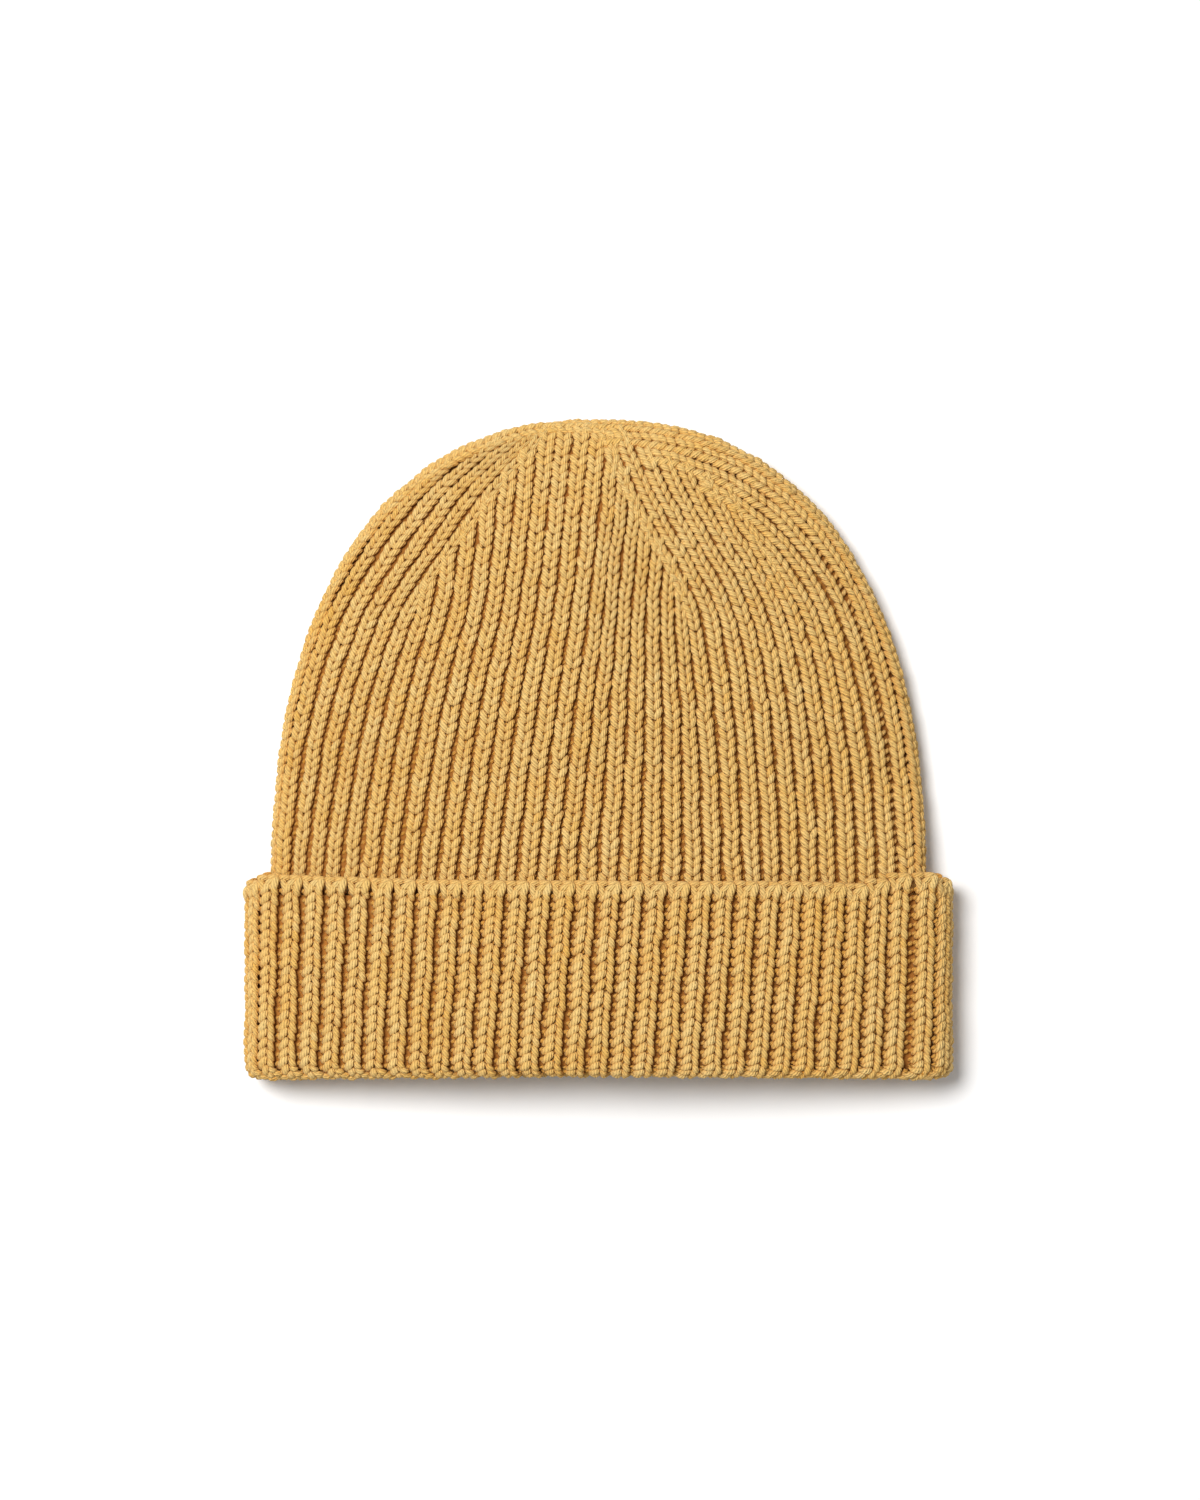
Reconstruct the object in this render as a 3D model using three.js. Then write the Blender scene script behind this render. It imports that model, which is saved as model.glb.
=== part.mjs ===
// A cuffed beanie in thick one-by-one rib knit, lying on its back with the crown along +Y and the cuff
// along -Y. Millimetres, +Z up. The origin is under the middle of the hat, on the surface it lies on.
import * as THREE from 'three';
import { ParametricGeometry } from 'three/addons/geometries/ParametricGeometry.js';
import { mergeVertices } from 'three/addons/utils/BufferGeometryUtils.js';

// Overall sizes
const CUFF_HALF_WIDTH = 113.2;
const CUFF_TOP = -42;          // free edge of the cuff at the sides and the back
const FOLD_BOTTOM = -105.6;    // outside of the fold, which is the mouth of the hat
const CUFF_RISE = 34;          // thickness of the lying hat at the middle of the cuff
const CUFF_SIDE_RADIUS = 11.5;
const CROWN_HALF_WIDTH = 105;
const CROWN_TOP = 105.6;
const OUTLINE_POWER = 2.34;    // superellipse of the crown's outline

// Knit
const RIBS_PER_SIDE = 34;      // ribs from one side edge to the other, on the front and again on the back
const WALL = 4.5;              // rib crest to the inside of the wall
const GAP = 0.35;              // between the crown's wall and the cuff turned up over it
const RIB_DEPTH = 1.5;
const CREST = [0.2, 0.8];      // where the flat crest starts and ends, as shares of one rib
const CUFF_LEAN = 0.55;        // ribs by which the cuff's ribs lean from the fold to the free edge
const FOLD_RELIEF = 0.55;      // share of the rib depth left round the fold
const FOLD_LIFT = 1.8;         // the front's fold sits this far behind the back's, at its middle
const CORNER_START = 104;      // beyond here the free edge of the cuff drops into a rounded corner
const CORNER_DROP = 3.4;

// Crown in side view
const EDGE_HEIGHT = 8;         // middle of the rounded top edge, above the surface
const FRONT_TAPER = 3;
const BACK_FLATNESS = 14;
const DROOP_END = -8;          // the back of the crown lies on the surface from here to the top
const SIDE_RADIUS_SHARE = 0.48;

const FOLD_RADIUS = WALL + GAP / 2;
const FOLD_CENTRE = FOLD_BOTTOM + FOLD_RADIUS;
const CROWN_RISE = CUFF_RISE - WALL - GAP;
const SLEEVE_LIFT = WALL + GAP;
const CROWN_HEM = FOLD_CENTRE + GAP;
const EDGE_ROLL = WALL / 2;
const SLEEVE_END = CUFF_TOP - 20;   // below here the crown's wall fits the inside of the cuff

// Where the three lines of decreases run on the front: the ribs between two lines end on them. The back
// has the same lines mirrored.
const DARTS = [
  { y: 45, left: -64, middle: 28, right: 65 },
  { y: 56, left: -53, middle: 23, right: 59 },
  { y: 70, left: -43, middle: 13, right: 50 },
  { y: 84, left: -31, middle: 6.5, right: 35.5 },
  { y: 93, left: -22, middle: 3, right: 19 },
  { y: 100, left: -17, middle: 0.5, right: 4 },
];
const DART_RIBS = { left: 6, middle: 22, right: 28 };
const GATHER_SHARE = 0.83;     // the lines stay within this share of the half width, up to the gather
const EDGE_FADE = 0.125;       // share of the crown's height over which the ribs fade into the gather

// Free edge of the cuff on the front, with the dip and the lift near its right end
const CUFF_EDGE = [
  { x: -113, y: -42 },
  { x: -60, y: -43.6 },
  { x: 60, y: -44.2 },
  { x: 80, y: -45 },
  { x: 96, y: -41.4 },
  { x: 113, y: -42 },
];

// Deep furrow down the right side of the crown, in the valley of one rib
const FURROW = { rib: 32, depth: 3.2, from: -20, to: 72 };

// Value of one column of a table at a place along its first column
function readTable(table, key, at, column) {
  const first = table[0];
  const last = table[table.length - 1];
  if (at <= first[key]) return first[column];
  if (at >= last[key]) return last[column];
  const next = table.findIndex((row) => row[key] >= at);
  const low = table[next - 1];
  const high = table[next];
  const share = (at - low[key]) / (high[key] - low[key]);
  return THREE.MathUtils.lerp(low[column], high[column], share);
}

// How far the fold is drawn back at a share of the front
function foldLift(front, share) {
  return front ? FOLD_LIFT * (1 - share ** 2) : 0;
}

// Cross-section of the lying tube: flat underneath, an arc at each side, one wide arc over the top
function makeSection(halfWidth, low, high, radius) {
  const reach = halfWidth - radius;
  const rise = high - low - radius;
  const topRadius = (reach ** 2 + rise ** 2 - radius ** 2) / (2 * (rise - radius));
  const topAngle = Math.asin(reach / (topRadius - radius));
  const topLength = topRadius * topAngle;
  return {
    reach, low, high, radius, topRadius, topAngle, topLength,
    frontHalf: topLength + radius * (Math.PI / 2 - topAngle),
    backHalf: reach + radius * Math.PI / 2,
  };
}

// Point at a share (-1 to 1, left to right) of the front or of the back of a section
function sectionPoint(section, front, share) {
  const side = Math.sign(share);
  const along = Math.abs(share) * (front ? section.frontHalf : section.backHalf);
  const straight = front ? section.topLength : section.reach;
  if (along <= straight) {
    if (!front) return { x: side * along, z: section.low };
    const angle = along / section.topRadius;
    const centre = section.high - section.topRadius;
    return {
      x: side * section.topRadius * Math.sin(angle),
      z: centre + section.topRadius * Math.cos(angle),
    };
  }
  const turned = (along - straight) / section.radius;
  const angle = front ? section.topAngle + turned : Math.PI - turned;
  return {
    x: side * (section.reach + section.radius * Math.sin(angle)),
    z: section.low + section.radius + section.radius * Math.cos(angle),
  };
}

// Section of the cuff, set in by a distance from the rib crests
function cuffSection(inset) {
  const radius = CUFF_SIDE_RADIUS - inset;
  return makeSection(CUFF_HALF_WIDTH - inset, inset, CUFF_RISE - inset, radius);
}

// Section of the crown above the cuff at a share of its height, set in by a distance
function crownSection(share, inset) {
  const outline = (1 - share ** OUTLINE_POWER) ** (1 / OUTLINE_POWER);
  const frontRise = CROWN_RISE - EDGE_HEIGHT - inset;
  const high = EDGE_HEIGHT + frontRise * Math.sqrt(1 - share ** FRONT_TAPER);
  const lying = EDGE_HEIGHT - (EDGE_HEIGHT - inset) * Math.sqrt(1 - share ** BACK_FLATNESS);
  const y = CUFF_TOP + share * (CROWN_TOP - CUFF_TOP);
  const low = lying + SLEEVE_LIFT * (1 - THREE.MathUtils.smoothstep(y, CUFF_TOP, DROOP_END));
  const sideRadius = CUFF_SIDE_RADIUS - SLEEVE_LIFT - inset;
  const radius = Math.min(sideRadius, (high - low) * SIDE_RADIUS_SHARE);
  return makeSection((CROWN_HALF_WIDTH - inset) * outline, low, high, radius);
}

// Share of the half section at which a rib coordinate lies on the crown, with the ends on the darts
function crownRibShare(rib, y, front, section) {
  const half = front ? section.frontHalf : section.backHalf;
  const even = (at) => at / RIBS_PER_SIDE * 2 - 1;
  if (y <= DARTS[0].y) return { share: even(rib), ended: false };
  const line = {};
  for (const name of ['left', 'middle', 'right']) line[name] = readTable(DARTS, 'y', y, name) / half;
  const gather = Math.max(1, Math.max(line.right, -line.left) / GATHER_SHARE);
  for (const name of ['left', 'middle', 'right']) line[name] /= gather;
  const { left, middle, right } = DART_RIBS;
  if (rib < left) {
    return { share: -1 + rib / left * (line.left + 1), ended: false };
  }
  if (rib > right) {
    const across = (rib - right) / (RIBS_PER_SIDE - right);
    return { share: line.right + across * (1 - line.right), ended: false };
  }
  const start = crownSection((DARTS[0].y - CUFF_TOP) / (CROWN_TOP - CUFF_TOP), 0);
  const startHalf = front ? start.frontHalf : start.backHalf;
  if (rib <= middle) {
    const upright = even(rib) * startHalf / half;
    const share = THREE.MathUtils.clamp(upright, line.left, line.middle);
    return { share, ended: share !== upright };
  }
  const parallel = line.middle + (rib - middle) * 2 / RIBS_PER_SIDE * startHalf / half;
  const share = Math.min(parallel, line.right);
  return { share, ended: share !== parallel };
}

// A column is a valley, a crest's start or a crest's end. Columns count round the whole section.
const COLUMNS_PER_RIB = 3;
const COLUMNS = RIBS_PER_SIDE * 2 * COLUMNS_PER_RIB;

function readColumn(column, ribbed) {
  const rib = Math.floor(column / COLUMNS_PER_RIB) % (RIBS_PER_SIDE * 2);
  const part = ribbed ? column % COLUMNS_PER_RIB : 0;
  const at = rib + (part === 0 ? 0 : CREST[part - 1]);
  const front = at < RIBS_PER_SIDE;
  return { at: front ? at : at - RIBS_PER_SIDE, rib, front, valley: part === 0 };
}

// One closed surface from rows that run round the section. Columns that meet become one vertex.
function wrapRows(rows, placePoint) {
  const surface = new ParametricGeometry((u, v, target) => {
    const row = rows[Math.round(v * rows.length) % rows.length];
    const column = Math.round(u * COLUMNS) % COLUMNS;
    placePoint(row, column, target);
  }, COLUMNS, rows.length);
  surface.deleteAttribute('normal');
  surface.deleteAttribute('uv');
  const merged = mergeVertices(surface, 1e-4);
  const faces = [];
  const index = merged.getIndex();
  for (let i = 0; i < index.count; i += 3) {
    const [a, b, c] = [index.getX(i), index.getX(i + 1), index.getX(i + 2)];
    if (a !== b && b !== c && c !== a) faces.push(a, b, c);
  }
  merged.setIndex(faces);
  merged.computeVertexNormals();
  return merged;
}

// Rows of the crown: the ribbed outside upwards, then the smooth inside downwards
function crownRows() {
  const outsideHeights = [-45, -39, -20, 0, 22, 45, 57, 68, 78, 86, 92.5, 97.5, 101.5, 104.4];
  const insideShares = [0.92, 0.78, 0.59, 0.3, 0.08];
  const rows = [
    { y: CROWN_HEM, inset: 0, sleeve: true, hem: true, ribbed: false },
    { y: SLEEVE_END, inset: 0, sleeve: true, ribbed: false },
  ];
  for (const y of outsideHeights) rows.push({ y, inset: 0, ribbed: true });
  rows.push({ y: CROWN_TOP, inset: 0, apex: true });
  rows.push({ y: CROWN_TOP - WALL, inset: WALL, apex: true });
  for (const share of insideShares) {
    const y = CUFF_TOP + share * (CROWN_TOP - CUFF_TOP - WALL);
    rows.push({ y, inset: WALL, share, ribbed: false });
  }
  rows.push({ y: SLEEVE_END, inset: WALL, sleeve: true, ribbed: false });
  rows.push({ y: CROWN_HEM, inset: WALL, sleeve: true, hem: true, ribbed: false });
  return rows;
}

function crownPoint(row, columnIndex, target) {
  if (row.apex) {
    target.set(0, row.y, EDGE_HEIGHT);
    return;
  }
  const column = readColumn(columnIndex, row.ribbed);
  if (row.sleeve) {
    const section = cuffSection(SLEEVE_LIFT + row.inset);
    const share = column.at / RIBS_PER_SIDE * 2 - 1;
    const point = sectionPoint(section, column.front, column.front ? share : -share);
    target.set(point.x, row.y + (row.hem ? foldLift(column.front, share) : 0), point.z);
    return;
  }
  const height = row.share ?? Math.max(0, (row.y - CUFF_TOP) / (CROWN_TOP - CUFF_TOP));
  const whole = crownSection(height, row.inset);
  const placed = crownRibShare(column.at, row.y, column.front, whole);
  const inFurrow = column.front && column.rib === FURROW.rib && column.valley
    && row.y > FURROW.from && row.y < FURROW.to;
  const depth = inFurrow ? FURROW.depth : RIB_DEPTH;
  const low = row.ribbed && (column.valley || placed.ended);
  const taper = Math.min(1, (1 - height) / EDGE_FADE);
  const section = low ? crownSection(height, depth * taper) : whole;
  const point = sectionPoint(section, column.front, column.front ? placed.share : -placed.share);
  target.set(point.x, row.y, point.z);
}

// Rows of the cuff: up the outside, over the rolled free edge, down the inside and round the fold
function cuffRows() {
  const outsideShares = [0, 0.3, 0.65, 1];
  const foldSteps = 6;
  const edgeSteps = 4;
  const rows = [];
  for (const up of outsideShares) rows.push({ up, inset: 0, ribbed: true, relief: 1 });
  for (let step = 1; step < edgeSteps; step += 1) {
    const turn = step / edgeSteps * Math.PI;
    rows.push({
      up: 1, over: EDGE_ROLL * Math.sin(turn), inset: EDGE_ROLL * (1 - Math.cos(turn)),
      ribbed: step < edgeSteps / 2 + 1, relief: 1 - step / edgeSteps,
    });
  }
  rows.push({ up: 1, inset: WALL, ribbed: false });
  rows.push({ up: 0, inset: WALL, ribbed: false });
  for (let step = foldSteps; step > 0; step -= 1) {
    const turn = step / foldSteps * Math.PI;
    const outside = step <= foldSteps / 2 + 1;
    rows.push({
      up: 0, over: -FOLD_RADIUS * Math.sin(turn), inset: FOLD_RADIUS * (1 - Math.cos(turn)),
      ribbed: outside, relief: FOLD_RELIEF,
    });
  }
  return rows;
}

function cuffPoint(row, columnIndex, target) {
  const column = readColumn(columnIndex, row.ribbed);
  const deep = row.ribbed && column.valley ? RIB_DEPTH * row.relief : 0;
  const section = cuffSection(row.inset + deep);
  const leaning = row.ribbed ? CUFF_LEAN * row.up : 0;
  let rib = column.at + leaning + (column.front ? 0 : RIBS_PER_SIDE);
  if (rib >= RIBS_PER_SIDE * 2) rib -= RIBS_PER_SIDE * 2;
  const front = rib < RIBS_PER_SIDE;
  const share = (front ? rib : rib - RIBS_PER_SIDE) / RIBS_PER_SIDE * 2 - 1;
  const point = sectionPoint(section, front, front ? share : -share);
  const edge = front ? readTable(CUFF_EDGE, 'x', point.x, 'y') : CUFF_TOP;
  const corner = Math.max(0, (Math.abs(point.x) - CORNER_START) / (CUFF_HALF_WIDTH - CORNER_START));
  const straightTop = edge - CORNER_DROP * corner ** 2 - EDGE_ROLL;
  const fold = FOLD_CENTRE + foldLift(front, share);
  const y = THREE.MathUtils.lerp(fold, straightTop, row.up) + (row.over ?? 0);
  target.set(point.x, y, point.z);
}

// The hat is knitted in one mustard yarn
function knitMaterial() {
  return new THREE.MeshStandardMaterial({ color: 0xcea25c, roughness: 0.95, metalness: 0 });
}

function makePiece(name, rows, placePoint) {
  const piece = new THREE.Mesh(wrapRows(rows, placePoint), knitMaterial());
  piece.name = name;
  return piece;
}

const beanie = new THREE.Group();
beanie.add(makePiece('crown', crownRows(), crownPoint));
beanie.add(makePiece('cuff', cuffRows(), cuffPoint));

export default beanie;
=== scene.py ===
import math

import bmesh
import bpy
import numpy as np
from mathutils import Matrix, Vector


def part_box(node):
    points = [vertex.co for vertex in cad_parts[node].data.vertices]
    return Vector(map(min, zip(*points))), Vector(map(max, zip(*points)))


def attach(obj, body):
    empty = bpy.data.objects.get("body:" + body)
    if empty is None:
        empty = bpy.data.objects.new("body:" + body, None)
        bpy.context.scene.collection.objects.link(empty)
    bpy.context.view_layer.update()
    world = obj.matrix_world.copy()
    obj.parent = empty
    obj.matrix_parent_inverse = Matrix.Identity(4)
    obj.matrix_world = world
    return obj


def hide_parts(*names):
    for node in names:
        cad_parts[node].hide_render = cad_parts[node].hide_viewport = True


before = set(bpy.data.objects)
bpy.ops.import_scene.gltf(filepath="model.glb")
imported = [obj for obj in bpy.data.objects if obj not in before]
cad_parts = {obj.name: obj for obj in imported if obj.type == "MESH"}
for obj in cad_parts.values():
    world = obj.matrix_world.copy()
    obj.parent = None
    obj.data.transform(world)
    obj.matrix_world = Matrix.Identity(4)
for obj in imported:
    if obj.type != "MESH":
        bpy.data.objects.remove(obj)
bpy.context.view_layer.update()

# The crown's fabric body: the inner layer of the knit, which closes the gaps between the stitches.
# It is one seamless tube of thick soft yarn, drawn in at the top, and runs down inside the cuff to
# the fold. The hat lies on its back: the tube is flat below, arched above and round at the sides.
MM = 0.001
WALL = 4.5
GAP = 0.35
CUFF_LOW, CUFF_HIGH = (Vector(corner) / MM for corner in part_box("cuff"))
CROWN_HIGH = Vector(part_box("crown")[1]) / MM
CUFF_HALF_WIDTH = CUFF_HIGH.x
CUFF_RISE = CUFF_HIGH.z
CUFF_SIDE_RADIUS = 11.5
CUFF_TOP = -42.0
CROWN_TOP = CROWN_HIGH.y
CROWN_HALF_WIDTH = 105.0
CROWN_RISE = CROWN_HIGH.z
OUTLINE_POWER = 2.34
EDGE_HEIGHT = 8.0
FRONT_TAPER = 3.0
BACK_FLATNESS = 14.0
DROOP_END = -8.0
SLEEVE_LIFT = WALL + GAP
FOLD_RADIUS = WALL + GAP / 2
FOLD_CENTRE = CUFF_LOW.y + FOLD_RADIUS
RIBS = 68
TINY = 1e-9


def smoothstep(low, high, value):
    t = np.clip((value - low) / (high - low), 0.0, 1.0)
    return t * t * (3 - 2 * t)


def lying_section(half_width, low, high, radius):
    """The lying tube cut across: flat below, an arc at each side, one wide arc over the top."""
    reach = half_width - radius
    rise = high - low - radius
    top_radius = (reach**2 + rise**2 - radius**2) / (2 * (rise - radius))
    angle = np.arcsin(np.clip(reach / (top_radius - radius), 0, 1))
    return {
        "reach": reach, "low": low, "high": high, "radius": radius,
        "top_radius": top_radius, "angle": angle, "top": top_radius * angle,
        "front": top_radius * angle + radius * (np.pi / 2 - angle),
        "back": reach + radius * np.pi / 2,
    }


NEAR_TIP = 0.9995
SIDE_SHARE = 0.48


def crown_section(y, inset=0.0):
    """The crown cut across at y, drawn in by inset all round."""
    height = np.clip((y - CUFF_TOP) / (CROWN_TOP - CUFF_TOP), 0, NEAR_TIP)
    outline = (1 - height**OUTLINE_POWER) ** (1 / OUTLINE_POWER)
    high = EDGE_HEIGHT + (CROWN_RISE - EDGE_HEIGHT - inset) * np.sqrt(1 - height**FRONT_TAPER)
    lying = EDGE_HEIGHT - (EDGE_HEIGHT - inset) * np.sqrt(1 - height**BACK_FLATNESS)
    low = lying + SLEEVE_LIFT * (1 - smoothstep(CUFF_TOP, DROOP_END, y))
    side = CUFF_SIDE_RADIUS - SLEEVE_LIFT - inset
    radius = np.minimum(side, (high - low) * SIDE_SHARE)
    return lying_section((CROWN_HALF_WIDTH - inset) * outline, low, high, radius)


def cuff_section(y, inset=0.0):
    """The cuff cut across at y, which is the same all the way up, drawn in by inset all round."""
    flat = np.zeros_like(np.asarray(y, float))
    return lying_section(
        CUFF_HALF_WIDTH - inset + flat, inset + flat, CUFF_RISE - inset + flat,
        CUFF_SIDE_RADIUS - inset + flat,
    )


def on_ring(section, y, along):
    """Points round a section. along is measured from the middle of the front, to the right."""
    whole = 2 * (section["front"] + section["back"])
    along = (along + whole / 2) % whole - whole / 2
    side = np.where(along < 0, -1.0, 1.0)
    run = np.abs(along)
    on_top = run <= section["top"]
    from_back = whole / 2 - run
    on_flat = from_back <= section["reach"]
    turned = section["angle"] + (run - section["top"]) / section["radius"]
    angle = np.where(on_top, run / section["top_radius"], turned)
    bend = np.where(on_top, section["top_radius"], section["radius"])
    middle_x = np.where(on_top, 0.0, section["reach"])
    middle_z = np.where(
        on_top, section["high"] - section["top_radius"], section["low"] + section["radius"]
    )
    x = side * np.where(on_flat, from_back, middle_x + bend * np.sin(angle))
    z = np.where(on_flat, section["low"], middle_z + bend * np.cos(angle))
    return np.stack([x, y + np.zeros_like(x), z], -1)


# The bodies' Depth is full, so they take the painted shade colour all over.
CORE_SHADE_DEPTH = 1.0
CORE_TONE = 0.3
GRID_DIGITS = 5
SAME_PLACE = 1e-6
NO_LENGTH = 1e-7


def body_of_rings(name, rings):
    """A closed bmesh tube whose rings run round the hat. A ring with no width closes the tube."""
    columns = len(rings[0])
    build = bmesh.new()
    bmesh.ops.create_grid(build, x_segments=columns, y_segments=len(rings) - 1, size=1)
    build.verts.ensure_lookup_table()
    across = sorted({round(v.co.x, GRID_DIGITS) for v in build.verts})
    along = sorted({round(v.co.y, GRID_DIGITS) for v in build.verts})
    column_of = {value: index for index, value in enumerate(across)}
    row_of = {value: index for index, value in enumerate(along)}
    for vert in build.verts:
        row = row_of[round(vert.co.y, GRID_DIGITS)]
        column = column_of[round(vert.co.x, GRID_DIGITS)]
        vert.co = Vector(rings[row][column % columns]) * MM
    bmesh.ops.remove_doubles(build, verts=build.verts, dist=SAME_PLACE)
    bmesh.ops.dissolve_degenerate(build, edges=build.edges, dist=NO_LENGTH)
    bmesh.ops.recalc_face_normals(build, faces=build.faces)
    mesh = bpy.data.meshes.new(name)
    build.to_mesh(mesh)
    build.free()
    mesh.polygons.foreach_set("use_smooth", [True] * len(mesh.polygons))
    for layer, value in (("Depth", CORE_SHADE_DEPTH), ("Tone", CORE_TONE)):
        values = mesh.attributes.new(layer, "FLOAT", "POINT")
        values.data.foreach_set("value", [value] * len(mesh.vertices))
    return mesh


FOLD_LIFT = 1.8
QUARTER = 0.25


def fold_lift(share):
    """How far the front's fold is drawn back. share runs round the whole ring, 0 to 1."""
    across = np.abs((share + 0.5) % 1 - 0.5) / QUARTER
    return np.where(across < 1, FOLD_LIFT * (1 - across**2), 0.0)


BODY_COLUMNS = RIBS * 4


def ring_at(section, y, wave=0.0):
    """One ring of a body, in mm. wave is the height of the ribs that it has on its inner side."""
    whole = 2 * (section["front"] + section["back"])
    share = np.arange(BODY_COLUMNS) / BODY_COLUMNS
    nearness = np.clip((CUFF_TOP - y) / (CUFF_TOP - FOLD_CENTRE), 0, 1)
    points = on_ring(section, y + nearness * fold_lift(share), share * whole)
    if not wave:
        return points
    middle = np.array([0, y, (section["low"] + section["high"]) / 2])
    ahead = np.roll(points, -1, 0) - np.roll(points, 1, 0)
    inward = np.stack([-ahead[:, 2], 0 * ahead[:, 0], ahead[:, 0]], -1)
    inward /= np.linalg.norm(inward, axis=1)[:, None] + TINY
    inward *= np.sign(((middle - points) * inward).sum(1))[:, None]
    return points + inward * (wave * np.cos(share * RIBS * 2 * np.pi))[:, None]


CORE_DEPTH = 2.7
SLEEVE_START = FOLD_CENTRE + 1.2
SLEEVE_DEPTH = SLEEVE_LIFT + 0.6
SLEEVE_LEVELS = (SLEEVE_START, -80.0, -56.0)
OUTER_LEVELS = (
    -47.0, -38, -28, -18, -8, 2, 14, 26, 38, 50, 61, 71, 80, 87, 92.5, 96.5, 99.5, 101.5,
)
TURN_START = 20
TURN_END = 95
TIP_WALL = WALL + 1
INNER_LEVELS = (97.0, 91, 82, 70, 55, 38, 20, 2, -14, -30)
INNER_RIB = 0.7
LINING_LEVELS = (-50.0, -66.0, -82, SLEEVE_START)
LINING_DEPTH = SLEEVE_LIFT + WALL - 1.4
LINING_RIB = 0.1
crown_rings = []
for y in SLEEVE_LEVELS:
    crown_rings.append(ring_at(cuff_section(y, SLEEVE_DEPTH), y))
for y in OUTER_LEVELS:
    # Towards the top the outline turns across, so the inset is taken along the hat as well.
    ahead = CORE_DEPTH * smoothstep(TURN_START, TURN_END, y)
    crown_rings.append(ring_at(crown_section(y + ahead, CORE_DEPTH), y))
outer_tip = np.array([0, CROWN_TOP - CORE_DEPTH, EDGE_HEIGHT])
inner_tip = np.array([0, CROWN_TOP - TIP_WALL, EDGE_HEIGHT])
crown_rings.append(np.repeat(outer_tip[None], BODY_COLUMNS, 0))
crown_rings.append(np.repeat(inner_tip[None], BODY_COLUMNS, 0))
for y in INNER_LEVELS:
    crown_rings.append(ring_at(crown_section(y, WALL), y, INNER_RIB))
for y in LINING_LEVELS:
    crown_rings.append(ring_at(cuff_section(y, LINING_DEPTH), y, LINING_RIB))
crown_rings.append(crown_rings[0])
crown_body = bpy.data.objects.new("crown_fabric", body_of_rings("crown_fabric", crown_rings))
bpy.context.scene.collection.objects.link(crown_body)
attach(crown_body, "root")
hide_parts("crown")


PLIES = 8
PLY_STEP = 1.6
CLOUD_SHARE = 0.25
STRAY_SHARE = 0.6
YARN_SHADE = (0.82, 0.45, 0.086, 1)
YARN_LIGHT = (0.918, 0.70, 0.315, 1)
# Painted shade: the dark colour that the yarn is given deep in the valleys, where shade falls.
YARN_PAINTED_SHADE = (0.72, 0.30, 0.04, 1)
# Painted shade: the dark brown of the crown's body, seen in the gaps between the stitches.
CROWN_CORE_SHADE_COLOUR = (0.32, 0.125, 0.025, 1)


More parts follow.
